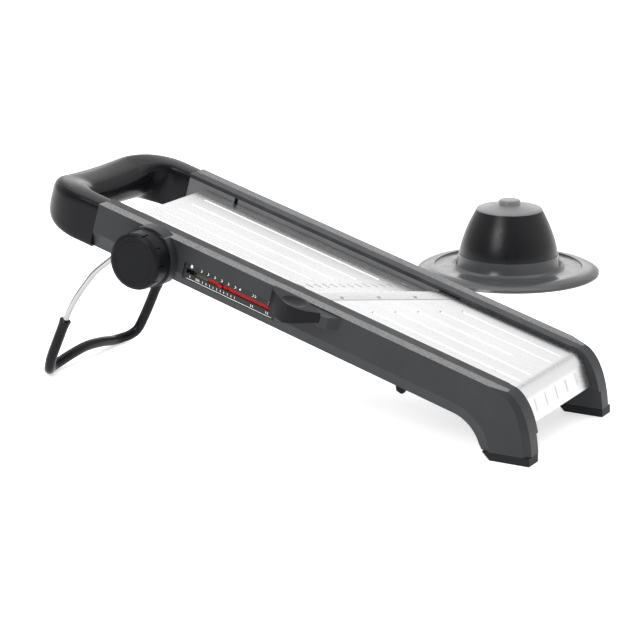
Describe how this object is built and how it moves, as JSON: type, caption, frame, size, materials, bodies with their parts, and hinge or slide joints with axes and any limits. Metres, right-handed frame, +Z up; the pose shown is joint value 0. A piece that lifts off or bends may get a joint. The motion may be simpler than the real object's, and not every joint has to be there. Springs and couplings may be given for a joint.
{
  "type": "mandoline slicer",
  "caption": "Kitchen mandoline with a knob-set sliding bed, pull-out angled blade, julienne comb, folding wire leg, loop handle and a spring-loaded food holder.",
  "frame": {"origin": "on the table, under the middle of the box round the slicer and its food holder", "axes": "+X towards the front feet, +Y from the knob side towards the food holder, +Z up"},
  "size_m": [0.418, 0.591, 0.1555],
  "materials": {
    "charcoal_plastic": "fine moulded texture, satin",
    "cover_plastic": "fine moulded texture, satin",
    "soft_grip": "soft-touch, satin sheen",
    "foot_rubber": "matte",
    "plate_steel": "brushed along the slope, bright",
    "blade_steel": "ground and polished edge",
    "steel": "polished",
    "nylon": "natural nylon",
    "bronze": "sintered bronze",
    "knob_plastic": "soft-touch black",
    "red_plastic": "bright red, satin",
    "panel_plastic": "dark, smooth",
    "frame_plastic": "satin",
    "holder_grey": "smooth, semi-gloss",
    "cap_grey": "satin",
    "spring_steel": "drawn wire"
  },
  "bodies": {
    "slicer_frame": {"near_rail": "charcoal_plastic", "far_rail": "charcoal_plastic", "handle_core": "frame_plastic", "handle_grip": "soft_grip", "near_inner_cover": "cover_plastic", "far_inner_cover": "cover_plastic", "landing_base": "charcoal_plastic", "landing_plate": "plate_steel", "rear_crossmember": "charcoal_plastic", "scale_plate": "panel_plastic", "near_foot_pad": "foot_rubber", "far_foot_pad": "foot_rubber", "under_pegs": "knob_plastic", "frame_screws": "steel", "knob_bushing": "bronze"},
    "knob": {"knob": "knob_plastic", "knob_face": "knob_plastic", "knob_shaft": "steel", "drive_pinion": "nylon"},
    "cam_carriage": {"gear_rack": "nylon", "near_cam_bar": "nylon", "far_cam_bar": "nylon", "cam_tie": "steel", "indicator": "red_plastic"},
    "platform": {"platform_plate": "plate_steel", "platform_frame": "frame_plastic", "platform_pins": "steel"},
    "comb": {"comb_bar": "frame_plastic", "comb_teeth": "blade_steel"},
    "blade_cartridge": {"blade": "blade_steel", "blade_carrier": "frame_plastic", "blade_tab": "knob_plastic", "blade_rivets": "steel"},
    "leg": {"leg_rod": "steel", "leg_sleeve": "soft_grip"},
    "holder": {"holder_flange": "holder_grey", "holder_grip": "soft_grip", "holder_cap": "cap_grey"},
    "plunger": {"plunger_button": "cap_grey", "plunger_rod": "steel", "pin_plate": "frame_plastic", "food_pins": "steel", "plunger_spring": "spring_steel"}
  },
  "joints": [
    {"name": "knob_turn", "type": "hinge", "parent": "slicer_frame", "child": "knob", "pos_m": [-0.0932, -0.2855, 0.11149], "axis": [0, 1, 0], "range_deg": [-149, 275]},
    {"name": "cam_slide", "type": "slide", "parent": "slicer_frame", "child": "cam_carriage", "axis": [0.9603, 0, -0.279], "range_m": [-0.0235, 0.0432]},
    {"name": "platform_lift", "type": "slide", "parent": "slicer_frame", "child": "platform", "axis": [0.279, 0, 0.9603], "range_m": [-0.00808, 0.00438]},
    {"name": "comb_lift", "type": "slide", "parent": "platform", "child": "comb", "axis": [0.279, 0, 0.9603], "range_m": [0, 0.0065]},
    {"name": "blade_pull", "type": "slide", "parent": "slicer_frame", "child": "blade_cartridge", "axis": [-0.4685, -0.8729, 0.1361], "range_m": [0, 0.15]},
    {"name": "leg_fold", "type": "hinge", "parent": "slicer_frame", "child": "leg", "pos_m": [-0.11967, -0.2005, 0.11356], "axis": [0, -1, 0], "range_deg": [0, 105]},
    {"name": "holder_lift", "type": "slide", "parent": "slicer_frame", "child": "holder", "axis": [0, 0, 1], "range_m": [0, 0.15]},
    {"name": "plunger_rise", "type": "slide", "parent": "holder", "child": "plunger", "axis": [0, 0, 1], "range_m": [0, 0.025], "stiffness_N_per_m": 314, "springref_m": -0.02, "deforming": ["plunger_spring"]}
  ],
  "couplings": [
    {"joint": "knob_turn", "follows": "platform_lift", "rad_per_m": -593.43},
    {"joint": "cam_slide", "follows": "platform_lift", "ratio": -5.3409}
  ]
}
